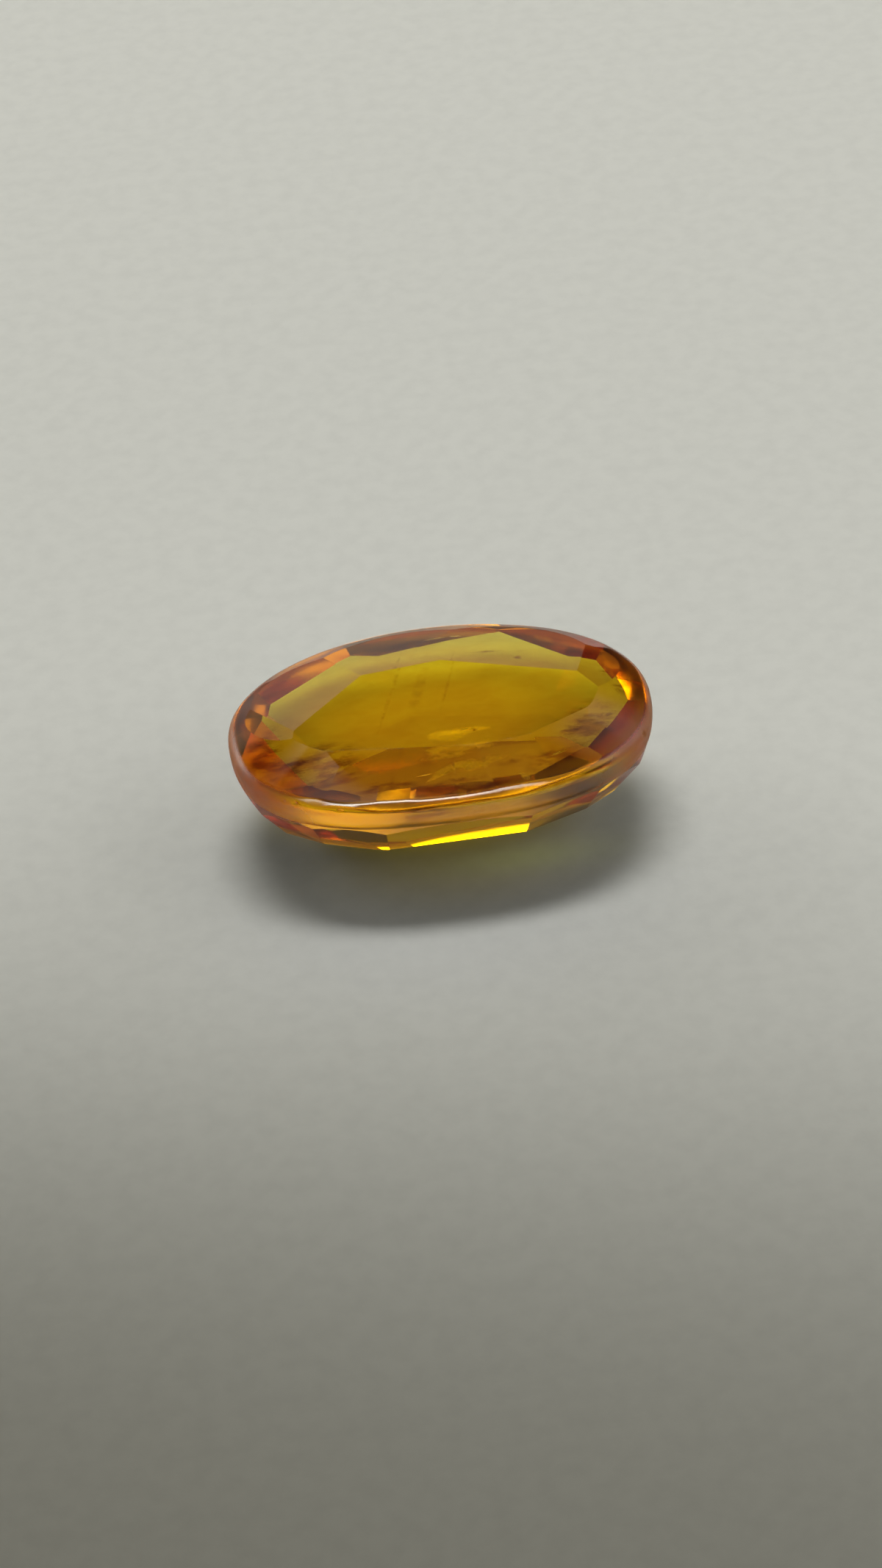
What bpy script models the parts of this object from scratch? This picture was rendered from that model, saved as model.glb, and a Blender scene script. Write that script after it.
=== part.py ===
"""Golden sapphire, cut as an oval: a flat table, a broad low crown, a thick rounded
girdle, and a two-step pavilion that ends in a narrow flat keel.

The stone is made the way a cutter makes it. A preform with an oval outline and a
barrel-shaped edge comes first, and then each flat facet is ground on it, one plane
at a time. Metres, +Z up. The long axis runs along X and the keel rests on Z = 0.
"""

from math import atan2, cos, degrees, pi, radians, sin

import bmesh
import bpy
import numpy as np

MM = 0.001

# The oval at its widest, in millimetres. A power of 2 is a true ellipse, and more
# gives fuller shoulders: the front half is cut fuller than the back.
LENGTH = 15.0
WIDTH = 9.6
BACK_POWER = 2.1
FRONT_POWER = 2.5
OUTLINE_POINTS = 120

# Heights above the keel.
GIRDLE_FOOT = 3.1
GIRDLE_MIDDLE = 3.6
GIRDLE_TOP = 4.25
TABLE = 4.95

# The blank reaches below the keel, where it is drawn in by this much. The girdle swells
# out between its foot and its middle.
BLANK_FOOT = -0.1
BLANK_INSET = 0.3
GIRDLE_SWELL = 0.1
SWELL_ROWS = 3

# The girdle's upper edge rolls over along an ellipse up to this angle, and the blank
# goes straight on from there, so that the crown's facets cut it off.
ROLL_START = 3.8
ROLL_WIDTH = 0.5
ROLL_HEIGHT = 0.5
ROLL_END = 66.0
ROLL_ROWS = 9
ROLL_ON = 3.5

# Cutting list of the crown: facet, azimuth from +X, and how far from the axis it meets
# the table. Its slope follows, because each facet runs down to the girdle's top.
CROWN = (
    ("far_left", 133.0, 2.87),
    ("far_middle", 95.5, 1.79),
    ("far_right", 71.5, 1.84),
    ("right_end", 30.0, 4.45),
    ("right_corner", -15.0, 6.04),
    ("near_right", -66.0, 3.61),
    ("near_middle", -97.5, 2.77),
    ("left_corner", -140.0, 5.45),
    ("left_end", 168.0, 4.90),
)

# Cutting list of the pavilion's upper step: facet, azimuth and slope. Each one starts
# at the foot of the girdle.
PAVILION_UPPER = (
    ("front", -90.0, 60.0),
    ("front_right", -73.0, 60.0),
    ("right_front", -55.0, 60.0),
    ("right_end", -18.0, 58.0),
    ("right_back", 30.0, 58.0),
    ("back_right", 62.0, 59.0),
    ("back", 90.0, 60.0),
    ("back_left", 118.0, 59.0),
    ("left_back", 150.0, 58.0),
    ("left_end", -165.0, 58.0),
    ("left_front", -125.0, 60.0),
    ("front_left", -107.0, 60.0),
)

# The lower step runs on down to the keel: facet, azimuth, slope, and how far from the
# axis it meets the keel.
PAVILION_LOWER = (
    ("front", -90.0, 24.0, 0.80),
    ("front_right", -66.0, 27.0, 1.90),
    ("right_end", -8.0, 40.0, 4.60),
    ("back_right", 50.0, 33.0, 2.90),
    ("back", 80.0, 34.0, 1.20),
    ("back_left", 112.0, 31.0, 1.60),
    ("left_back", 150.0, 33.0, 3.80),
    ("front_left", -118.0, 27.0, 2.10),
)


def clear_scene():
    for obj in list(bpy.data.objects):
        bpy.data.objects.remove(obj, do_unlink=True)


def outline(inset):
    """The oval drawn in by inset, in millimetres, as points spaced evenly in angle."""
    turn = np.linspace(0.0, 2.0 * pi, OUTLINE_POINTS, endpoint=False)
    power = np.where(np.sin(turn) > 0.0, BACK_POWER, FRONT_POWER)
    reach = (np.abs(np.cos(turn)) ** power + np.abs(np.sin(turn)) ** power) ** (-1.0 / power)
    half_length = LENGTH / 2 - inset
    half_width = WIDTH / 2 - inset
    return np.column_stack((reach * np.cos(turn) * half_length, reach * np.sin(turn) * half_width))


def barrel():
    """The edge of the preform from the bottom up, as pairs of inset and height."""
    rows = [(BLANK_INSET, BLANK_FOOT)]
    for share in np.linspace(0.0, 1.0, SWELL_ROWS):
        height = GIRDLE_FOOT + share * (GIRDLE_MIDDLE - GIRDLE_FOOT)
        rows.append((GIRDLE_SWELL * (1 - share) ** 2, height))
    for turn in np.linspace(0.0, radians(ROLL_END), ROLL_ROWS):
        rows.append((ROLL_WIDTH * (1 - cos(turn)), ROLL_START + ROLL_HEIGHT * sin(turn)))
    inset, height = rows[-1]
    inset += ROLL_ON * ROLL_WIDTH * sin(turn)
    height += ROLL_ON * ROLL_HEIGHT * cos(turn)
    rows.append((inset, height))
    return rows


def preform():
    """The oval blank: one ring of the outline for each row of the barrel."""
    mesh = bmesh.new()
    rings = []
    for inset, height in barrel():
        ring = [mesh.verts.new((x * MM, y * MM, height * MM)) for x, y in outline(inset)]
        rings.append(ring)
    for low, high in zip(rings, rings[1:]):
        for i in range(OUTLINE_POINTS):
            j = (i + 1) % OUTLINE_POINTS
            mesh.faces.new((low[i], low[j], high[j], high[i]))
    mesh.faces.new(reversed(rings[0]))
    mesh.faces.new(rings[-1])
    return mesh


def girdle_reach(azimuth):
    """How far from the axis a line square to this azimuth just touches the girdle."""
    turn = radians(azimuth)
    return float((outline(GIRDLE_SWELL) @ (cos(turn), sin(turn))).max())


def grind(mesh, azimuth, slope, reach, height, side):
    """Grinds one flat facet through the point at this reach and height: everything
    beyond it goes, and the cut is closed. side is 1 on the crown, -1 on the pavilion."""
    turn = radians(azimuth)
    tilt = radians(slope)
    cut = bmesh.ops.bisect_plane(
        mesh,
        geom=list(mesh.verts) + list(mesh.edges) + list(mesh.faces),
        dist=1e-9,
        plane_co=(reach * cos(turn) * MM, reach * sin(turn) * MM, height * MM),
        plane_no=(sin(tilt) * cos(turn), sin(tilt) * sin(turn), side * cos(tilt)),
        clear_outer=True,
    )
    edges = [item for item in cut["geom_cut"] if isinstance(item, bmesh.types.BMEdge)]
    bmesh.ops.contextual_create(mesh, geom=edges)


def cut_crown(mesh):
    grind(mesh, 0.0, 0.0, 0.0, TABLE, 1)
    for _, azimuth, reach in CROWN:
        run = girdle_reach(azimuth) - reach
        slope = degrees(atan2(TABLE - GIRDLE_TOP, run))
        grind(mesh, azimuth, slope, reach, TABLE, 1)


def cut_pavilion(mesh):
    grind(mesh, 0.0, 0.0, 0.0, 0.0, -1)
    for _, azimuth, slope in PAVILION_UPPER:
        grind(mesh, azimuth, slope, girdle_reach(azimuth), GIRDLE_FOOT, -1)
    for _, azimuth, slope, reach in PAVILION_LOWER:
        grind(mesh, azimuth, slope, reach, 0.0, -1)


def sapphire_material():
    material = bpy.data.materials.new("golden_sapphire")
    material.use_nodes = True
    shader = material.node_tree.nodes["Principled BSDF"]
    shader.inputs["Base Color"].default_value = (0.85, 0.52, 0.04, 1.0)
    shader.inputs["Roughness"].default_value = 0.03
    shader.inputs["Metallic"].default_value = 0.0
    shader.inputs["IOR"].default_value = 1.77
    shader.inputs["Transmission Weight"].default_value = 1.0
    return material


def build_sapphire():
    stone = preform()
    cut_crown(stone)
    cut_pavilion(stone)
    bmesh.ops.recalc_face_normals(stone, faces=stone.faces)
    data = bpy.data.meshes.new("sapphire")
    stone.to_mesh(data)
    stone.free()
    sapphire = bpy.data.objects.new("sapphire", data)
    bpy.context.scene.collection.objects.link(sapphire)
    data.materials.append(sapphire_material())
    data.shade_smooth()
    data.set_sharp_from_angle(angle=radians(9.0))


clear_scene()
build_sapphire()
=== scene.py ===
# %% [markdown]
# # A golden sapphire, cut as an oval
#
# The real object is a single crystal, sawn, shaped and polished by hand. It could be
# carved out of a plain mesh, but a gem is easier to make the way a cutter makes it: a
# blank with the right outline first, and then one flat cut for every facet. This lesson
# follows that order, and then spends most of its time on what makes a clear stone look
# real: true refraction, a body colour that deepens with the path of the light, worn
# edges, and the small flaws inside.
#
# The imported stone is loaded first. It fixes the place and the size of everything.

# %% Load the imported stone
from math import atan2, cos, radians, sin

import bmesh
import bpy
import numpy as np
from mathutils import Matrix, Vector


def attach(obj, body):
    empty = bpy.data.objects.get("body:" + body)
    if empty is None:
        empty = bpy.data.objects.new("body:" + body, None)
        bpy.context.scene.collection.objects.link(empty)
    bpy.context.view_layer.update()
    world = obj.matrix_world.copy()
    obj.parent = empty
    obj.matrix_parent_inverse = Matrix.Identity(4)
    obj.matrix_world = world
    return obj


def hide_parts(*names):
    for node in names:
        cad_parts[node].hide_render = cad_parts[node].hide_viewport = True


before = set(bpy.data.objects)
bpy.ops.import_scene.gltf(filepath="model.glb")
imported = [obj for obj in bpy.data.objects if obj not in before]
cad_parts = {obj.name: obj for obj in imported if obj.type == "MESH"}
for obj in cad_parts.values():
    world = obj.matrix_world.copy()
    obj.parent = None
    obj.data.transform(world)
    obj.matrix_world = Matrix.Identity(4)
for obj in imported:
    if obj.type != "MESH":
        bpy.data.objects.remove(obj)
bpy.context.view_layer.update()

MM = 0.001
print("nodes of the packed stone:", sorted(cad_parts))

# %% [markdown]
# ## The outline
#
# Seen from above, the stone is an oval that is cut fuller in front than behind. A plain
# ellipse is too pointed for that. A superellipse has one more number, its power: 2 is an
# ellipse, and more pushes the shoulders out. Each half gets its own power.

# %% The oval seen from above
LENGTH = 15.0
WIDTH = 9.6
BACK_POWER = 2.1
FRONT_POWER = 2.5


def oval(turn, inset):
    """Superellipse: the reach at each angle is (|cos|^p + |sin|^p)^(-1/p), and each
    side is then scaled to half the stone's length or width, less the inset."""
    power = np.where(np.sin(turn) > 0.0, BACK_POWER, FRONT_POWER)
    reach = (np.abs(np.cos(turn)) ** power + np.abs(np.sin(turn)) ** power) ** (-1.0 / power)
    x = reach * np.cos(turn) * (LENGTH / 2 - inset)
    y = reach * np.sin(turn) * (WIDTH / 2 - inset)
    return x, y


sides = [np.ptp(c) for c in oval(np.linspace(0.0, 2.0 * np.pi, 721), 0.0)]
print("the oval is %.2f by %.2f mm" % tuple(sides))

# %% [markdown]
# ## The edge of the blank
#
# The girdle is the widest part. On this stone it is thick and softly rounded, because it
# was shaped by hand on a wheel and hardly polished flat anywhere. Its profile is drawn
# from the bottom up, as how far it is drawn in at each height: a slow taper below, a
# slight swell, and a roll over the top.
#
# The wheel rested longer on some stretches of the edge and left a narrow flat there. A
# flat catches a lamp in a wide bright line, and a tight curve in a thin one. So the roll
# is added up step by step, and a step's radius can be made larger at one angle.

# %% The girdle's profile
GIRDLE_FOOT = 3.1
GIRDLE_MIDDLE = 3.6
GIRDLE_TOP = 4.25
TABLE = 4.95
GIRDLE_SWELL = 0.1
BLANK_FOOT = -0.1
BLANK_INSET = 0.3
ROLL_START = 3.8
ROLL_WIDTH = 0.5
ROLL_HEIGHT = 0.5
ROLL_END = 66.0
ROLL_ON = 3.5
FLAT_AT = 52.0
FLAT_HALF = 3.0
FLAT_GAIN = 11.0


def roll_rows(flat):
    """The roll over the girdle's top. Every step goes on by its radius times the angle
    that it turns, and the radius is 1 + flat * FLAT_GAIN times a bell curve round
    FLAT_AT degrees. The sums are scaled to end where an even roll ends."""
    turn = np.linspace(0.0, radians(ROLL_END), 33)
    middle = 0.5 * (turn[1:] + turn[:-1])
    bell = np.exp(-((middle - radians(FLAT_AT)) / radians(FLAT_HALF)) ** 2)
    step = np.diff(turn) * (1.0 + flat * FLAT_GAIN * bell)
    inward = np.concatenate(([0.0], np.cumsum(step * np.sin(middle))))
    upward = np.concatenate(([0.0], np.cumsum(step * np.cos(middle))))
    inward *= ROLL_WIDTH * (1.0 - cos(turn[-1])) / inward[-1]
    upward *= ROLL_HEIGHT * sin(turn[-1]) / upward[-1]
    return inward, ROLL_START + upward


def girdle_profile(flat):
    """Inset and height of every row: a parabola for the swell, the roll, and a last row
    that runs straight on from the roll's end."""
    rise = np.linspace(0.0, 1.0, 8)
    swell = GIRDLE_SWELL * (1.0 - rise) ** 2
    inward, upward = roll_rows(flat)
    end = radians(ROLL_END)
    inset = np.concatenate((
        [BLANK_INSET], swell, inward, [inward[-1] + ROLL_ON * ROLL_WIDTH * sin(end)],
    ))
    height = np.concatenate((
        [BLANK_FOOT],
        GIRDLE_FOOT + rise * (GIRDLE_MIDDLE - GIRDLE_FOOT),
        upward,
        [upward[-1] + ROLL_ON * ROLL_HEIGHT * cos(end)],
    ))
    return inset, height


even, worn = girdle_profile(0.0), girdle_profile(1.0)
print("the profile has", len(even[0]), "rows, up to %.2f mm" % even[1][-1])
print("the worn flat moves the edge by up to %.3f mm" % np.abs(even[0] - worn[0]).max())

# %% [markdown]
# ## The blank
#
# Carrying that profile round the oval gives the whole blank as one surface of two
# numbers: the angle round the stone, and the row of the profile. Whole arrays make it in
# one step. A hand-shaped girdle is never quite even, so a few slow waves draw it in by a
# few hundredths of a millimetre. They only draw it in, and so the stone never grows past
# its real size. The nicks are small dents of the same kind, each a bell curve in angle
# and in height.

# %% The blank as a surface
COLUMNS = 720
WAVES = ((3, 0.010, 0.4), (5, 0.012, 2.1), (9, 0.008, 4.0), (17, 0.005, 1.2), (41, 0.002, 0.3))
FLATS = ((252.0, 6.0, 1.0), (285.0, 6.0, 0.9), (268.0, 24.0, 0.45), (232.0, 3.0, 0.6))
NICKS = (
    # angle round the stone, height, half width in degrees, half height, depth
    (331.0, 3.95, 0.9, 0.12, 0.07),
    (226.0, 4.02, 0.7, 0.05, 0.03),
    (222.0, 3.98, 0.6, 0.05, 0.03),
    (239.0, 4.0, 0.8, 0.04, 0.025),
    (124.0, 3.9, 0.8, 0.08, 0.04),
    (8.0, 3.6, 0.7, 0.1, 0.04),
)


def bells(turn, spots):
    """Sum of bell curves round the stone: centre and half width in degrees, and size."""
    return sum(size * np.exp(-((np.degrees(turn) - at) / half) ** 2) for at, half, size in spots)


def hand_waves(turn):
    """Sum of sines round the stone, each lifted so that it is never below zero."""
    waves = [size * (1.0 + np.sin(count * turn + start)) for count, size, start in WAVES]
    return np.sum(waves, axis=0)


def nick_depth(turn, height):
    """Sum of dents, each falling off with the squares of angle and height."""
    across = np.degrees(turn)[None, :]
    dents = [
        depth * np.exp(-((across - at) / half) ** 2 - ((height - level) / tall) ** 2)
        for at, level, half, tall, depth in NICKS
    ]
    return np.sum(dents, axis=0)


def blank_surface():
    """Grid of points: row i, column j is the oval at angle j, drawn in by row i's inset,
    the hand waves and the nicks, at row i's height. Each column mixes the even profile
    with the worn one. The waves fade towards the long ends."""
    turn = np.linspace(0.0, 2.0 * np.pi, COLUMNS, endpoint=False)
    share = np.clip(bells(turn, FLATS), 0.0, 1.0)[None, :]
    inset = even[0][:, None] * (1.0 - share) + worn[0][:, None] * share
    height = even[1][:, None] * (1.0 - share) + worn[1][:, None] * share
    waves = hand_waves(turn) * np.abs(np.sin(turn)) ** 0.5 * np.abs(np.cos(turn)) ** 0.5
    x, y = oval(turn[None, :], inset + waves[None, :] + nick_depth(turn, height))
    return np.stack((x, y, height), axis=-1) * MM


def grid_faces(row_count, column_count):
    """Quads between neighbouring rows, closed round the columns."""
    low = np.arange((row_count - 1) * column_count).reshape(-1, column_count)
    beside = np.roll(low, -1, axis=1)
    quads = np.stack((low, beside, beside + column_count, low + column_count), axis=-1)
    return quads.reshape(-1, 4)


def blank_mesh():
    """The surface as a mesh, with its foot and its top closed by one face each."""
    points = blank_surface()
    faces = grid_faces(*points.shape[:2]).tolist()
    foot = np.arange(COLUMNS)
    top = foot + (points.shape[0] - 1) * COLUMNS
    faces += [foot[::-1].tolist(), top.tolist()]
    mesh = bpy.data.meshes.new("blank")
    mesh.from_pydata(points.reshape(-1, 3).tolist(), [], faces)
    return mesh


blank = blank_mesh()
print("the blank has", len(blank.polygons), "faces")

# %% [markdown]
# ## The facets
#
# A grid can't give a crisp facet, because its edges would run in steps from one cell to
# the next. A cutter lowers the stone on a flat lap, and a plane through the mesh does the
# same: what lies beyond the plane goes, and the cut closes with one flat face. So here
# the facets come from planes, each one with its direction round the stone, its slope,
# and a point that it passes through.
#
# The crown's facets all run down to the top of the girdle, so their slope follows from
# where they meet the table. The pavilion has two steps: a steep one under the girdle, and
# a gentler one that goes down to the keel.

# %% The cutting list
CROWN = (
    ("far_left", 133.0, 2.87),
    ("far_middle", 95.5, 1.79),
    ("far_right", 71.5, 1.84),
    ("right_end", 30.0, 4.45),
    ("right_corner", -15.0, 6.04),
    ("near_right", -66.0, 3.61),
    ("near_middle", -97.5, 2.77),
    ("left_corner", -140.0, 5.45),
    ("left_end", 168.0, 4.90),
)
PAVILION_UPPER = (
    ("front", -90.0, 60.0),
    ("front_right", -73.0, 60.0),
    ("right_front", -55.0, 60.0),
    ("right_end", -18.0, 58.0),
    ("right_back", 30.0, 58.0),
    ("back_right", 62.0, 59.0),
    ("back", 90.0, 60.0),
    ("back_left", 118.0, 59.0),
    ("left_back", 150.0, 58.0),
    ("left_end", -165.0, 58.0),
    ("left_front", -125.0, 60.0),
    ("front_left", -107.0, 60.0),
)
PAVILION_LOWER = (
    ("front", -90.0, 24.0, 0.80),
    ("front_right", -66.0, 27.0, 1.90),
    ("right_end", -8.0, 40.0, 4.60),
    ("back_right", 50.0, 33.0, 2.90),
    ("back", 80.0, 34.0, 1.20),
    ("back_left", 112.0, 31.0, 1.60),
    ("left_back", 150.0, 33.0, 3.80),
    ("front_left", -118.0, 27.0, 2.10),
)
print(len(CROWN) + len(PAVILION_UPPER) + len(PAVILION_LOWER) + 2, "facets with the table and keel")

# %% Grind the facets


def girdle_reach(azimuth):
    """How far from the axis a line square to this azimuth just touches the girdle."""
    x, y = oval(np.linspace(0.0, 2.0 * np.pi, 120, endpoint=False), GIRDLE_SWELL)
    return float((x * cos(radians(azimuth)) + y * sin(radians(azimuth))).max())


def grind(stone, azimuth, slope, reach, height, side):
    """One flat cut through the point at this reach and height. side is 1 on the crown
    and -1 on the pavilion."""
    turn = radians(azimuth)
    cut = bmesh.ops.bisect_plane(
        stone,
        geom=list(stone.verts) + list(stone.edges) + list(stone.faces),
        dist=1e-9,
        plane_co=(reach * cos(turn) * MM, reach * sin(turn) * MM, height * MM),
        plane_no=(sin(slope) * cos(turn), sin(slope) * sin(turn), side * cos(slope)),
        clear_outer=True,
    )
    edges = [item for item in cut["geom_cut"] if isinstance(item, bmesh.types.BMEdge)]
    bmesh.ops.contextual_create(stone, geom=edges)


def cut_stone(mesh):
    """Table and crown first, then the keel and both steps of the pavilion."""
    stone = bmesh.new()
    stone.from_mesh(mesh)
    grind(stone, 0.0, 0.0, 0.0, TABLE, 1)
    for _, azimuth, reach in CROWN:
        slope = atan2(TABLE - GIRDLE_TOP, girdle_reach(azimuth) - reach)
        grind(stone, azimuth, slope, reach, TABLE, 1)
    grind(stone, 0.0, 0.0, 0.0, 0.0, -1)
    for _, azimuth, slope in PAVILION_UPPER:
        grind(stone, azimuth, radians(slope), girdle_reach(azimuth), GIRDLE_FOOT, -1)
    for _, azimuth, slope, reach in PAVILION_LOWER:
        grind(stone, azimuth, radians(slope), reach, 0.0, -1)
    bmesh.ops.recalc_face_normals(stone, faces=stone.faces)
    stone.to_mesh(mesh)
    stone.free()


cut_stone(blank)
stone = bpy.data.objects.new("golden_sapphire", blank)
bpy.context.scene.collection.objects.link(stone)
print("the cut stone has", len(blank.polygons), "faces")

# %% [markdown]
# ## Worn edges
#
# Sapphire is very hard, but the ridges between its facets still lose their bite with
# handling. A narrow bevel stands for that wear. The facets keep their own flat normals,
# and only the bevel turns from one to the next. That matters in glass: a facet whose
# normals are bent even slightly no longer looks flat.

# %% A narrow bevel on every ridge
WEAR_WIDTH = 0.018
RIDGE_ANGLE = 7.0

blank.shade_smooth()
blank.set_sharp_from_angle(angle=radians(RIDGE_ANGLE))
wear = stone.modifiers.new("worn_ridges", "BEVEL")
wear.width = WEAR_WIDTH * MM
wear.segments = 2
wear.limit_method = "ANGLE"
wear.angle_limit = radians(RIDGE_ANGLE)
wear.harden_normals = True
print("ridges worn by %.3f mm" % WEAR_WIDTH)

# %% [markdown]
# ## What the stone is made of
#
# Sapphire bends light strongly: its index is 1.77. The colour isn't on the surface. It
# comes from iron and chromium all through the crystal, which take blue out first, then
# some green, and almost no red. So the material is clear, and a volume absorbs the light
# on its way. A short path comes out yellow and a long one brown-orange, and nothing has
# to be painted.
#
# A volume's absorption is set per metre: (1 - colour) times density. Blue loses the most,
# so its colour is 0, and the density then follows from how fast blue should go.

# %% Helpers for nodes


def node(tree, kind, **values):
    """A new shader node with its settings and its inputs' values filled in by name."""
    made = tree.nodes.new("ShaderNode" + kind)
    for name, value in values.items():
        if hasattr(made, name):
            setattr(made, name, value)
        else:
            made.inputs[name.replace("_", " ")].default_value = value
    return made


def ramp(tree, source, stops):
    """A colour ramp fed by source, with stops given as (position, colour)."""
    made = tree.nodes.new("ShaderNodeValToRGB")
    tree.links.new(source, made.inputs["Fac"])
    elements = made.color_ramp.elements
    elements.remove(elements[1])
    for count, (position, color) in enumerate(stops):
        element = elements[0] if count == 0 else elements.new(position)
        element.position = position
        element.color = (*color, 1.0)
    return made.outputs["Color"]


def stretched_noise(tree, stretch, scale, detail):
    """Noise on the piece's own coordinates, stretched along X, Y and Z."""
    place = node(tree, "TexCoord")
    mapping = node(tree, "Mapping", Scale=stretch)
    noise = node(tree, "TexNoise", Scale=scale, Detail=detail)
    tree.links.new(place.outputs["Object"], mapping.inputs["Vector"])
    tree.links.new(mapping.outputs["Vector"], noise.inputs["Vector"])
    return noise.outputs["Fac"]


def grey(value):
    """A number as a colour, for the stops of a ramp that gives a plain value."""
    return (value, value, value)


# %% The sapphire
INDEX = 1.77
LIGHT_LOST = (14.0, 83.0, 1000.0)

density = LIGHT_LOST[2]
body_color = tuple(1.0 - lost / density for lost in LIGHT_LOST)

material = bpy.data.materials.new("golden_sapphire")
material.use_nodes = True
glass = material.node_tree
surface = glass.nodes["Principled BSDF"]
surface.inputs["IOR"].default_value = INDEX
surface.inputs["Transmission Weight"].default_value = 1.0
body = node(glass, "VolumeAbsorption", Color=(*body_color, 1.0), Density=density)
glass.links.new(body.outputs["Volume"], glass.nodes["Material Output"].inputs["Volume"])
blank.materials.append(material)
print("light left after 5 mm:", [round(float(np.exp(-0.005 * lost)), 3) for lost in LIGHT_LOST])

# %% [markdown]
# ### Polish by height
#
# A cutter polishes the table and the crown last and best. The pavilion keeps a faint haze,
# and the girdle is left matte, apart from its front, which took some polish. So the
# object's Z is turned into a number from 0 to 1, one ramp gives the roughness of the
# front and another that of the rest, and the object's Y mixes the two. Noise breaks it
# up, so that the haze is nowhere even.
#
# The faint colour in the surface is iron stain in fine pits, and it is only enough to
# make what shows through the stone a little uneven. The bump is a few thousandths of a
# millimetre high: the low waves of hand polishing, and a finer grain on the matte girdle.

# %% Haze, matte girdle, stain and polishing waves
FRONT_STOPS = (
    (0.000, 0.07), (0.610, 0.07), (0.624, 0.16), (0.745, 0.16), (0.785, 0.08), (0.835, 0.01),
)
MATTE_STOPS = (
    (0.000, 0.07), (0.610, 0.07), (0.624, 0.62), (0.800, 0.60), (0.840, 0.30), (0.860, 0.01),
)
GRAIN_STOPS = ((0.60, 0.0), (0.64, 0.25), (0.74, 0.25), (0.80, 0.0))
STOPS_HEIGHT = 5.0
FRONT_ENDS = -4.2
MATTE_STARTS = -3.2
BUMP_HEIGHT = 0.002


def levels_by_height(stops):
    """The value that the stops give at this height, as a colour."""
    return ramp(glass, level.outputs["Result"], [(at, grey(value)) for at, value in stops])


own_place = node(glass, "TexCoord")
split = node(glass, "SeparateXYZ")
level = node(glass, "MapRange", From_Max=STOPS_HEIGHT * MM)
backward = node(glass, "MapRange", From_Min=FRONT_ENDS * MM, From_Max=MATTE_STARTS * MM)
haze = node(glass, "Mix", data_type="FLOAT")
glass.links.new(own_place.outputs["Object"], split.inputs["Vector"])
glass.links.new(split.outputs["Z"], level.inputs["Value"])
glass.links.new(split.outputs["Y"], backward.inputs["Value"])
glass.links.new(backward.outputs["Result"], haze.inputs[0])
glass.links.new(levels_by_height(FRONT_STOPS), haze.inputs[2])
glass.links.new(levels_by_height(MATTE_STOPS), haze.inputs[3])
patches = stretched_noise(glass, (1.0, 1.0, 1.0), 900.0, 3.0)
uneven = node(glass, "MapRange", To_Min=0.7, To_Max=1.3)
rough = node(glass, "Math", operation="MULTIPLY")
glass.links.new(patches, uneven.inputs["Value"])
glass.links.new(haze.outputs[0], rough.inputs[0])
glass.links.new(uneven.outputs["Result"], rough.inputs[1])
glass.links.new(rough.outputs["Value"], surface.inputs["Roughness"])

stain = stretched_noise(glass, (0.5, 1.0, 1.6), 1100.0, 4.0)
tint = ramp(glass, stain, ((0.40, (1.0, 1.0, 1.0)), (0.62, (0.90, 0.80, 0.62))))
glass.links.new(tint, surface.inputs["Base Color"])

polish = stretched_noise(glass, (0.6, 1.4, 1.0), 800.0, 2.0)
grain = stretched_noise(glass, (1.0, 1.0, 1.0), 9000.0, 2.0)
masked = node(glass, "Math", operation="MULTIPLY")
relief = node(glass, "Math", operation="ADD")
bump = node(glass, "Bump", Strength=1.0, Distance=BUMP_HEIGHT * MM)
glass.links.new(levels_by_height(GRAIN_STOPS), masked.inputs[0])
glass.links.new(grain, masked.inputs[1])
glass.links.new(polish, relief.inputs[0])
glass.links.new(masked.outputs["Value"], relief.inputs[1])
glass.links.new(relief.outputs["Value"], bump.inputs["Height"])
glass.links.new(bump.outputs["Normal"], surface.inputs["Normal"])

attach(stone, "root")
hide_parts("sapphire")
print("the sapphire's material has", len(glass.nodes), "nodes")

# %% [markdown]
# ## The flaws inside
#
# Natural sapphire has a garden of small flaws, and they give it away as a real stone.
# Two kinds show here. Veils are thin clouds of brown iron stain in old, healed cracks, and a few of
# the same brown clouds are painted shade, put in only to darken the stone where it would look too
# bright.
# Feathers are cracks that are still open: a gap as thin as a soap film, which throws the
# light back like a mirror when it lies just right.
#
# They could be painted on the facets, but then they would slide when the stone turns.
# So each one is a thin closed lens at its real place in the stone. Its outline is an
# ellipse made ragged with sines, and every flake of a kind goes into one mesh.
#
# An attribute called reach runs from 0 in the middle to 1 at the rim, and the materials
# use it to let a flake fade away.

# %% Thin ragged flakes
FLAKE_RINGS = 6
FLAKE_SPOKES = 36
FLAKE_THICKNESS = 0.006


def flake_points(centre, size, heading, dip, ragged, start):
    """Ring i, spoke j: the ellipse at angle j, scaled by ring i, with its reach
    multiplied by 1 + ragged * (sum of three sines of the angle). The two skins stand
    apart by a thickness that falls as 1 - ring^2, and meet at the rim. The flake is then
    dipped towards the front and turned to its heading."""
    turn = np.linspace(0.0, 2.0 * np.pi, FLAKE_SPOKES, endpoint=False)
    sines = [np.sin(count * turn + start * count) / count ** 0.7 for count in (3, 5, 11)]
    reach = 1.0 + ragged * np.sum(sines, axis=0)
    ring = np.linspace(0.0, 1.0, FLAKE_RINGS)[:, None]
    x = ring * reach * np.cos(turn) * size[0] / 2
    y = ring * reach * np.sin(turn) * size[1] / 2
    thick = np.broadcast_to(FLAKE_THICKNESS * (1.0 - ring ** 2), x.shape)
    a, d = radians(heading), radians(dip)
    skins = []
    for side in (1.0, -1.0):
        flat = np.stack((x, y * cos(d) - side * thick * sin(d), y * sin(d) + side * thick * cos(d)))
        skins.append(np.stack((
            flat[0] * cos(a) - flat[1] * sin(a) + centre[0],
            flat[0] * sin(a) + flat[1] * cos(a) + centre[1],
            flat[2] + centre[2],
        ), axis=-1))
    return skins, np.broadcast_to(ring, x.shape)


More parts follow.
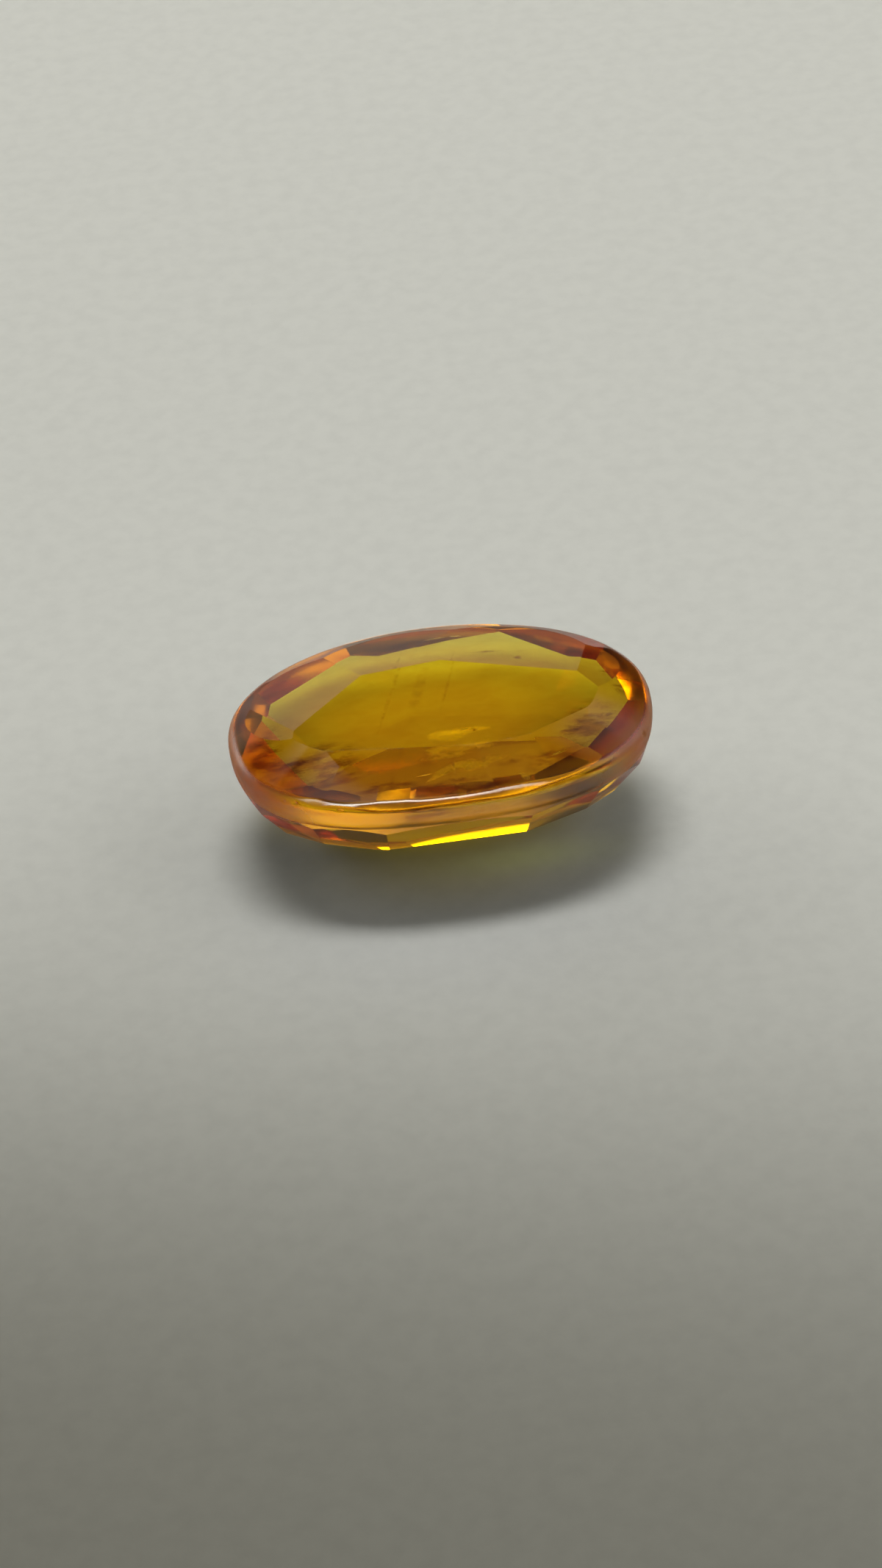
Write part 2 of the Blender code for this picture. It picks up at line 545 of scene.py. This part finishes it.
def flake_mesh(name, flakes):
    """All flakes in one mesh. Each skin is a grid closed round its spokes. Doubles are
    merged at the poles and along the rims, and the normals are then made consistent."""
    points, faces, reaches, strengths = [], [], [], []
    quads = grid_faces(FLAKE_RINGS, FLAKE_SPOKES)
    for *form, strength in flakes:
        skins, reach = flake_points(*form)
        for skin in skins:
            faces.append(quads + sum(len(part) for part in points))
            points.append(skin.reshape(-1, 3) * MM)
            reaches.append(reach.reshape(-1))
            strengths.append(np.full(reach.size, strength))
    mesh = bpy.data.meshes.new(name)
    mesh.from_pydata(np.concatenate(points).tolist(), [], np.concatenate(faces).tolist())
    for label, values in (("reach", reaches), ("strength", strengths)):
        layer = mesh.attributes.new(label, "FLOAT", "POINT")
        layer.data.foreach_set("value", np.concatenate(values))
    shell = bmesh.new()
    shell.from_mesh(mesh)
    bmesh.ops.remove_doubles(shell, verts=shell.verts, dist=1e-7)
    bmesh.ops.recalc_face_normals(shell, faces=shell.faces)
    shell.to_mesh(mesh)
    shell.free()
    mesh.shade_smooth()
    return mesh


def put_inside(name, mesh, material):
    """The flakes as a piece that rides with the stone."""
    mesh.materials.append(material)
    piece = bpy.data.objects.new(name, mesh)
    bpy.context.scene.collection.objects.link(piece)
    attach(piece, "root")
    print(name, "has", len(mesh.polygons), "faces")
    return piece


# %% [markdown]
# ### Where they lie
#
# Each line of these two lists is one flake: its middle in millimetres, its length and
# width, its heading round the stone, its dip towards the front, how ragged it is, a
# number that shapes the raggedness, and how strongly it shows.
#
# Broad thin clouds of stain lie towards both ends and under the near rim, streaks of it lie along
# the front, and three long faint bands cross the stone where the crystal grew in layers. The broad
# cloud at the left end and the long streak just under the near rim are painted shade, not stain:
# they darken places that the lamps make too bright.

# %% The two lists
VEILS_AND_SHADE = (
    ((-4.5, -1.9, 3.45), (3.9, 1.9), 6.0, 4.0, 0.10, 2.9, 1.0),
    ((5.0, -1.5, 3.45), (3.0, 1.7), 30.0, 4.0, 0.10, 1.3, 0.9),
    ((6.2, 0.5, 3.7), (1.1, 2.4), 10.0, 4.0, 0.10, 3.6, 1.3),
    ((3.6, -2.4, 2.9), (2.8, 1.2), 14.0, 4.0, 0.10, 3.2, 0.9),
    # painted shade: a brown cloud that darkens the left end
    ((-6.1, -0.9, 3.3), (1.7, 3.4), -8.0, 4.0, 0.10, 4.2, 1.2),
    # painted shade: a brown streak that darkens a bright patch at the near rim
    ((0.6, -3.72, 3.5), (4.4, 0.55), 4.0, 10.0, 0.16, 1.7, 1.2),
    ((-3.9, -2.3, 3.1), (3.6, 0.50), 4.0, 8.0, 0.22, 0.3, 1.0),
    ((-2.2, -2.6, 2.6), (2.8, 0.42), 2.0, 5.0, 0.25, 1.1, 1.0),
    ((-1.0, -3.1, 3.0), (3.0, 0.40), 5.0, 10.0, 0.24, 2.2, 1.0),
    ((-3.3, -3.0, 3.3), (2.2, 0.34), 7.0, 6.0, 0.28, 3.4, 1.0),
    ((0.6, -2.3, 2.2), (2.6, 0.38), 3.0, 8.0, 0.22, 4.1, 0.9),
    ((2.6, -1.9, 2.4), (1.8, 0.45), -6.0, 6.0, 0.25, 5.0, 0.8),
    ((-0.6, -3.5, 3.3), (2.4, 0.26), 4.0, 7.0, 0.26, 0.8, 1.0),
    ((-5.1, -1.4, 3.3), (1.6, 0.40), 12.0, 5.0, 0.24, 1.9, 1.0),
    ((-2.7, -0.9, 1.6), (1.5, 0.10), -2.0, 4.0, 0.20, 2.7, 1.2),
    ((4.3, -1.2, 2.9), (1.5, 0.5), 28.0, 6.0, 0.25, 3.9, 0.9),
    ((1.06, -1.19, 3.0), (0.18, 0.26), 0.0, 20.0, 0.18, 4.6, 1.4),
    ((-1.55, 1.6, 2.2), (5.0, 0.20), 70.0, 4.0, 0.06, 5.4, 0.35),
    ((-0.5, 1.7, 2.4), (4.2, 0.55), 71.0, 4.0, 0.06, 0.7, 0.22),
    ((0.55, 1.9, 2.0), (3.6, 0.16), 72.0, 4.0, 0.06, 0.1, 0.30),
    ((2.4, 2.5, 3.6), (2.2, 0.16), -6.0, 5.0, 0.24, 0.9, 0.9),
    ((3.1, 1.9, 3.8), (0.4, 0.30), 10.0, 8.0, 0.26, 1.6, 0.9),
)
FEATHERS = (
    ((0.35, -0.85, 2.0), (2.9, 0.75), 6.0, 7.5, 0.20, 0.6, 0.8),
    ((0.9, -1.45, 1.9), (2.8, 0.55), 12.0, 7.8, 0.24, 2.0, 0.8),
    ((-0.1, -1.75, 2.0), (1.7, 0.35), 22.0, 7.3, 0.22, 3.1, 0.7),
    ((2.42, -3.2, 3.1), (0.55, 0.30), -38.0, 6.5, 0.10, 4.4, 1.0),
    ((0.4, 3.75, 3.75), (1.0, 0.10), 3.0, 7.0, 0.28, 5.2, 1.0),
    ((1.1, 3.72, 3.8), (0.6, 0.07), -4.0, 7.0, 0.28, 0.5, 1.0),
    ((-1.0, -3.0, 3.6), (0.7, 0.05), 6.0, 8.0, 0.28, 1.4, 0.9),
    ((5.45, -1.30, 4.86), (0.4, 0.03), 30.0, 6.0, 0.28, 2.3, 0.6),
    ((3.7, -2.6, 3.4), (0.8, 0.12), 16.0, 6.0, 0.26, 4.9, 0.7),
)
print(len(VEILS_AND_SHADE), "veils and", len(FEATHERS), "feathers")

# %% [markdown]
# ### Iron stain and open cracks
#
# Both materials share one effect, so it is a node group: a mask that is solid in the
# middle of a flake, breaks up into wisps, and is gone at the rim. It feeds Alpha, so the
# rest of the flake is simply not there.
#
# A veil is a clear brown film. Its index is 1, which here means no step from the crystal
# into the film, so it bends nothing and only filters the light. A feather is clear, and
# its index is the other way round: light comes to it from the crystal and enters a gap,
# so it is 1 / 1.77.

# %% Wisps as a node group
wisps = bpy.data.node_groups.new("wisps", "ShaderNodeTree")
wisps.interface.new_socket("Amount", in_out="INPUT", socket_type="NodeSocketFloat")
wisps.interface.new_socket("Scale", in_out="INPUT", socket_type="NodeSocketFloat")
wisps.interface.new_socket("Mask", in_out="OUTPUT", socket_type="NodeSocketFloat")
wisp_in = wisps.nodes.new("NodeGroupInput")
wisp_out = wisps.nodes.new("NodeGroupOutput")
rim = node(wisps, "Attribute", attribute_name="reach")
fade = node(wisps, "MapRange", interpolation_type="SMOOTHSTEP",
            From_Min=0.35, From_Max=0.98, To_Min=1.0, To_Max=0.0)
flake_place = node(wisps, "TexCoord")
along = node(wisps, "Mapping", Scale=(0.35, 1.0, 1.0))
torn = node(wisps, "TexNoise", Detail=5.0, Roughness=0.65)
breaks = node(wisps, "MapRange", interpolation_type="SMOOTHSTEP", From_Min=0.38, From_Max=0.60)
own = node(wisps, "Attribute", attribute_name="strength")
both = node(wisps, "Math", operation="MULTIPLY")
shown = node(wisps, "Math", operation="MULTIPLY")
amount = node(wisps, "Math", operation="MULTIPLY", use_clamp=True)
wisps.links.new(rim.outputs["Fac"], fade.inputs["Value"])
wisps.links.new(flake_place.outputs["Object"], along.inputs["Vector"])
wisps.links.new(along.outputs["Vector"], torn.inputs["Vector"])
wisps.links.new(wisp_in.outputs["Scale"], torn.inputs["Scale"])
wisps.links.new(torn.outputs["Fac"], breaks.inputs["Value"])
wisps.links.new(fade.outputs["Result"], both.inputs[0])
wisps.links.new(breaks.outputs["Result"], both.inputs[1])
wisps.links.new(both.outputs["Value"], shown.inputs[0])
wisps.links.new(own.outputs["Fac"], shown.inputs[1])
wisps.links.new(shown.outputs["Value"], amount.inputs[0])
wisps.links.new(wisp_in.outputs["Amount"], amount.inputs[1])
wisps.links.new(amount.outputs["Value"], wisp_out.inputs["Mask"])
print("wisps group:", len(wisps.nodes), "nodes")


def wispy(name, amount, scale):
    """A new clear material whose Alpha is the wisps mask, with its nodes and shader."""
    made = bpy.data.materials.new(name)
    made.use_nodes = True
    mask = made.node_tree.nodes.new("ShaderNodeGroup")
    mask.node_tree = wisps
    mask.inputs["Amount"].default_value = amount
    mask.inputs["Scale"].default_value = scale
    shader = made.node_tree.nodes["Principled BSDF"]
    shader.inputs["Transmission Weight"].default_value = 1.0
    made.node_tree.links.new(mask.outputs["Mask"], shader.inputs["Alpha"])
    return made, made.node_tree, shader


# %% Iron stain and painted shade
stain_and_shade_material, stain_and_shade_tree, stain_and_shade_shader = wispy("iron_stain_and_painted_shade", 0.85, 2600.0)
stain_and_shade_shader.inputs["IOR"].default_value = 1.0
stain_and_shade_shader.inputs["Roughness"].default_value = 0.1
spots = stretched_noise(stain_and_shade_tree, (0.4, 1.0, 1.0), 3200.0, 3.0)
brown = ramp(stain_and_shade_tree, spots, ((0.35, (0.28, 0.12, 0.02)), (0.65, (0.72, 0.47, 0.20))))
stain_and_shade_tree.links.new(brown, stain_and_shade_shader.inputs["Base Color"])
put_inside("veils_and_painted_shade", flake_mesh("veils_and_painted_shade", VEILS_AND_SHADE), stain_and_shade_material)

# %% Open cracks
crack_material, crack_tree, crack_shader = wispy("open_crack", 0.9, 1800.0)
crack_shader.inputs["IOR"].default_value = 1.0 / INDEX
film = stretched_noise(crack_tree, (0.5, 1.0, 1.0), 2500.0, 3.0)
clear = ramp(crack_tree, film, ((0.3, (1.0, 0.97, 0.85)), (0.7, (1.0, 1.0, 1.0))))
dull = ramp(crack_tree, film, ((0.3, grey(0.10)), (0.7, grey(0.30))))
crack_tree.links.new(clear, crack_shader.inputs["Base Color"])
crack_tree.links.new(dull, crack_shader.inputs["Roughness"])
put_inside("feathers", flake_mesh("feathers", FEATHERS), crack_material)

# %% [markdown]
# ## The paper
#
# The stone stands on a plain sheet of pale paper. Paper isn't perfectly even: its fibres
# make it a little lighter and darker within a millimetre, and they give it a fine tooth.
#
# A clear stone gathers the light that falls through it into a golden pool underneath.
# Cycles can follow that light, but only with a lot of noise, so the pool is painted
# instead: a soft patch on the paper, as bright as the gathered light. Its edge falls off
# as exp(-r^power), where r is the distance from its middle in its own half sizes.

# %% Paper with the light that the stone gathers
PAPER_COLOR = (0.86, 0.86, 0.795)
PAPER_HALF = 1500.0
PAPER_DROP = 0.02
FIBRE_SHADE = 0.955
TOOTH_HEIGHT = 0.03
POOLS = (
    # middle x and y, half sizes, power, colour
    (0.0, 1.0, 5.2, 2.7, 4.0, (0.410, 0.279, 0.0)),
    (0.4, -3.0, 4.6, 2.4, 3.0, (0.050, 0.038, 0.004)),
    (2.6, -3.6, 2.6, 0.7, 2.0, (0.020, 0.028, 0.0)),
)

paper_mesh = bpy.data.meshes.new("paper")
paper_mesh.from_pydata(
    [(x * PAPER_HALF * MM, y * PAPER_HALF * MM, -PAPER_DROP * MM)
     for x, y in ((-1.0, -1.0), (1.0, -1.0), (1.0, 1.0), (-1.0, 1.0))],
    [], [(0, 1, 2, 3)],
)
paper = bpy.data.objects.new("paper", paper_mesh)
bpy.context.scene.collection.objects.link(paper)
sheet = bpy.data.materials.new("pale_paper")
sheet.use_nodes = True
paper_mesh.materials.append(sheet)

paper_tree = sheet.node_tree
paper_shader = paper_tree.nodes["Principled BSDF"]
paper_shader.inputs["Roughness"].default_value = 0.8
paper_shader.inputs["Emission Strength"].default_value = 1.0
fibres = stretched_noise(paper_tree, (1.0, 1.0, 1.0), 1300.0, 4.0)
pale = ramp(paper_tree, fibres, (
    (0.30, tuple(FIBRE_SHADE * c for c in PAPER_COLOR)), (0.62, PAPER_COLOR),
))
tooth = node(paper_tree, "Bump", Strength=0.5, Distance=TOOTH_HEIGHT * MM)
paper_tree.links.new(pale, paper_shader.inputs["Base Color"])
paper_tree.links.new(fibres, tooth.inputs["Height"])
paper_tree.links.new(tooth.outputs["Normal"], paper_shader.inputs["Normal"])


def pool(tree, x, y, half_x, half_y, power, color):
    """Colour times exp(-r^power), with r measured in the pool's half sizes."""
    place = node(tree, "TexCoord")
    mapping = node(tree, "Mapping", vector_type="TEXTURE",
                   Location=(x * MM, y * MM, 0.0), Scale=(half_x * MM, half_y * MM, 1.0))
    length = node(tree, "VectorMath", operation="LENGTH")
    raised = node(tree, "Math", operation="POWER")
    raised.inputs[1].default_value = power
    turned = node(tree, "Math", operation="MULTIPLY")
    turned.inputs[1].default_value = -1.0
    fall = node(tree, "Math", operation="EXPONENT")
    light = node(tree, "VectorMath", operation="SCALE")
    light.inputs[0].default_value = color
    tree.links.new(place.outputs["Object"], mapping.inputs["Vector"])
    tree.links.new(mapping.outputs["Vector"], length.inputs[0])
    tree.links.new(length.outputs["Value"], raised.inputs[0])
    tree.links.new(raised.outputs["Value"], turned.inputs[0])
    tree.links.new(turned.outputs["Value"], fall.inputs[0])
    tree.links.new(fall.outputs["Value"], light.inputs["Scale"])
    return light.outputs["Vector"]


def summed(tree, vectors, base):
    """All vectors added up, starting from a plain base value."""
    total = None
    for vector in vectors:
        add = node(tree, "VectorMath", operation="ADD")
        add.inputs[0].default_value = base
        if total is not None:
            tree.links.new(total, add.inputs[0])
        tree.links.new(vector, add.inputs[1])
        total = add.outputs["Vector"]
    return total


glow = summed(paper_tree, [pool(paper_tree, *row) for row in POOLS], (0.0, 0.0, 0.0))
paper_tree.links.new(glow, paper_shader.inputs["Emission Color"])
print(len(POOLS), "pools of light on the paper")

# %% [markdown]
# ## Light
#
# What a faceted stone shows is mostly its surroundings, thrown about by mirrors and
# prisms. So the lights are placed by what the facets look at. The crown's far facets
# mirror a pale strip low behind the stone, and that is the grey veil over its far side.
# The table mirrors the part of the sky that is 42 degrees up, which has to be dim and
# warm, or the yellow under it would be washed out. The bright line at the foot of the
# stone is the main lamp, high behind the stone, which comes down through the far side,
# and the white line on the near rim is a strip lamp over the camera's shoulder.
#
# Each lamp is a soft-edged patch of the world's sky: that is what a soft box looks like
# from a stone a few millimetres long.

# %% Sky
SKY_BASE = (0.02, 0.02, 0.02)
LOBES = (
    # name, azimuth, elevation, wide, high, strength, tint
    ("pale_strip_behind", 100.0, 16.0, 22.0, 15.0, 0.47, (1.0, 0.99, 0.95)),
    ("warm_wall", 85.0, 37.0, 40.0, 8.0, 0.28, (1.0, 0.82, 0.02)),
    ("warm_wall_top", 85.0, 51.0, 40.0, 6.0, 0.12, (1.0, 0.82, 0.10)),
    ("main_lamp", 92.0, 65.8, 18.0, 6.2, 13.0, (0.99, 1.0, 1.01)),
    ("right_of_main", 48.0, 60.0, 14.0, 9.0, 0.3, (1.0, 1.0, 0.97)),
    ("low_behind_left", 145.0, 14.0, 18.0, 16.0, 2.6, (1.0, 0.99, 0.95)),
    ("overhead", -148.0, 78.0, 18.0, 9.0, 0.5, (1.0, 0.99, 0.95)),
    ("strip_over_shoulder", -104.0, 51.0, 24.0, 3.5, 10.0, (1.0, 0.98, 0.93)),
    ("right_side", 0.0, 28.0, 28.0, 26.0, 1.2, (1.0, 1.0, 0.97)),
    ("room_in_front", -95.0, 58.0, 100.0, 33.0, 0.075, (1.0, 0.98, 0.92)),
)


def sky_lobe(tree, direction, azimuth, elevation, wide, high, strength, tint):
    """A soft-edged bright patch: exp(-(across/wide)^4 - (up/high)^4), where across and up
    are the angles from its centre, as seen from the stone."""
    link = tree.links.new
    a, e = radians(azimuth), radians(elevation)
    centre = Vector((cos(a) * cos(e), sin(a) * cos(e), sin(e)))
    side = Vector((-sin(a), cos(a), 0.0))
    above = centre.cross(side)

    def dot(axis):
        part = node(tree, "VectorMath", operation="DOT_PRODUCT")
        part.inputs[1].default_value = axis
        link(direction, part.inputs[0])
        return part.outputs["Value"]

    def sums(operation, first, second):
        part = node(tree, "Math", operation=operation)
        for socket, value in zip(part.inputs, (first, second)):
            if isinstance(value, float):
                socket.default_value = value
            else:
                link(value, socket)
        return part.outputs["Value"]

    ahead = dot(centre)
    across = sums("ARCTAN2", dot(side), ahead)
    up = sums("ARCTAN2", dot(above), ahead)
    fall = sums("ADD",
                sums("POWER", sums("ABSOLUTE", sums("DIVIDE", across, radians(wide)), 0.0), 4.0),
                sums("POWER", sums("ABSOLUTE", sums("DIVIDE", up, radians(high)), 0.0), 4.0))
    share = sums("EXPONENT", sums("MULTIPLY", fall, -1.0), 0.0)
    light = node(tree, "VectorMath", operation="SCALE")
    light.inputs[0].default_value = [strength * c for c in tint]
    link(share, light.inputs["Scale"])
    return light.outputs["Vector"]


world = bpy.data.worlds.new("studio")
bpy.context.scene.world = world
world.use_nodes = True
sky = world.node_tree
looking = node(sky, "TexCoord").outputs["Generated"]
lobes = [sky_lobe(sky, looking, *lobe) for _, *lobe in LOBES]
sky.links.new(summed(sky, lobes, SKY_BASE), sky.nodes["Background"].inputs["Color"])
print(len(LOBES), "soft lamps in the sky")

# %% [markdown]
# ### A flag
#
# Lamps this far away have no fall-off, but the sheet in the photo grows darker towards
# the front, and a little more so at the left. A studio does that with a flag: a black
# cloth on a frame between a lamp and the set. It hangs high up, so its shadow has a very
# soft edge, and only the paper sees it.

# %% A flag over the front of the sheet
FLAG_HEIGHT = 90.0
FLAG_CORNERS = ((-90.0, -225.0), (90.0, -225.0), (90.0, 0.0), (-90.0, 50.0))

flag_mesh = bpy.data.meshes.new("flag")
flag_mesh.from_pydata(
    [(x * MM, y * MM, FLAG_HEIGHT * MM) for x, y in FLAG_CORNERS],
    [], [(0, 1, 2, 3)],
)
flag = bpy.data.objects.new("flag", flag_mesh)
bpy.context.scene.collection.objects.link(flag)
cloth = bpy.data.materials.new("black_cloth")
cloth.use_nodes = True
cloth.node_tree.nodes["Principled BSDF"].inputs["Base Color"].default_value = (0.01, 0.01, 0.01, 1.0)
flag_mesh.materials.append(cloth)
flag.visible_camera = False
flag.visible_glossy = False
flag.visible_transmission = False
print("the flag's edge hangs %.0f mm over the paper" % FLAG_HEIGHT)

# %% [markdown]
# ## Camera
#
# The photo was taken from close by, about 42 degrees up, a little from the left and
# with the camera tilted by 4 degrees. The distance matters as much as the direction: from
# 12 cm the near rim looks clearly larger than the far one. The focal length is given in
# pixels of the photo, which is how a camera fit finds it, and the sensor's height turns
# it into millimetres.

# %% Camera
CAMERA_ELEVATION = 42.0
CAMERA_YAW = 5.4
CAMERA_ROLL = -4.0
CAMERA_DISTANCE = 0.120
FOCAL_PIXELS = 4599.0
FRAME_PIXELS = 2133.0
AIM_HEIGHT = 2.5
AIM_DOWN_PIXELS = 51.2
AIM_LEFT_PIXELS = 1.1


def place_camera():
    """The camera turned by its three angles, at its distance from a point near the
    stone's middle that is moved a little to put the stone where the photo has it."""
    e, yaw, roll = radians(CAMERA_ELEVATION), radians(CAMERA_YAW), radians(CAMERA_ROLL)
    back = Vector((-sin(yaw) * cos(e), -cos(yaw) * cos(e), sin(e)))
    right = Vector((cos(yaw), -sin(yaw), 0.0))
    up = back.cross(right)
    right, up = cos(roll) * right + sin(roll) * up, cos(roll) * up - sin(roll) * right
    per_pixel = CAMERA_DISTANCE / FOCAL_PIXELS
    aim = Vector((0.0, 0.0, AIM_HEIGHT * MM))
    aim -= up * (AIM_DOWN_PIXELS * per_pixel) + right * (AIM_LEFT_PIXELS * per_pixel)
    lens = bpy.data.cameras.new("camera")
    lens.sensor_fit = "VERTICAL"
    lens.sensor_height = 36.0
    lens.lens = FOCAL_PIXELS * lens.sensor_height / FRAME_PIXELS
    lens.clip_start = 0.005
    lens.clip_end = 5.0
    camera = bpy.data.objects.new("camera", lens)
    place = Matrix((right, up, back)).transposed().to_4x4()
    place.translation = aim + back * CAMERA_DISTANCE
    camera.matrix_world = place
    bpy.context.scene.collection.objects.link(camera)
    bpy.context.scene.camera = camera


place_camera()

# %% [markdown]
# ### How far a ray is followed
#
# Inside a gem a ray bounces from facet to facet many times before it finds a way out. If
# it is given up too early, the facet it came from goes black. So transmission and glossy
# bounces are allowed far more than the few that a plain scene needs. Light focused by the
# stone is left out, because the golden pool on the paper stands for it. The plain view
# transform keeps the yellow as strong as the paper is pale.

# %% Light paths
cycles = bpy.context.scene.cycles
cycles.max_bounces = 24
cycles.transmission_bounces = 20
cycles.glossy_bounces = 20
cycles.diffuse_bounces = 3
cycles.sample_clamp_indirect = 10.0
cycles.caustics_reflective = False
cycles.caustics_refractive = False
bpy.context.scene.view_settings.view_transform = "Standard"
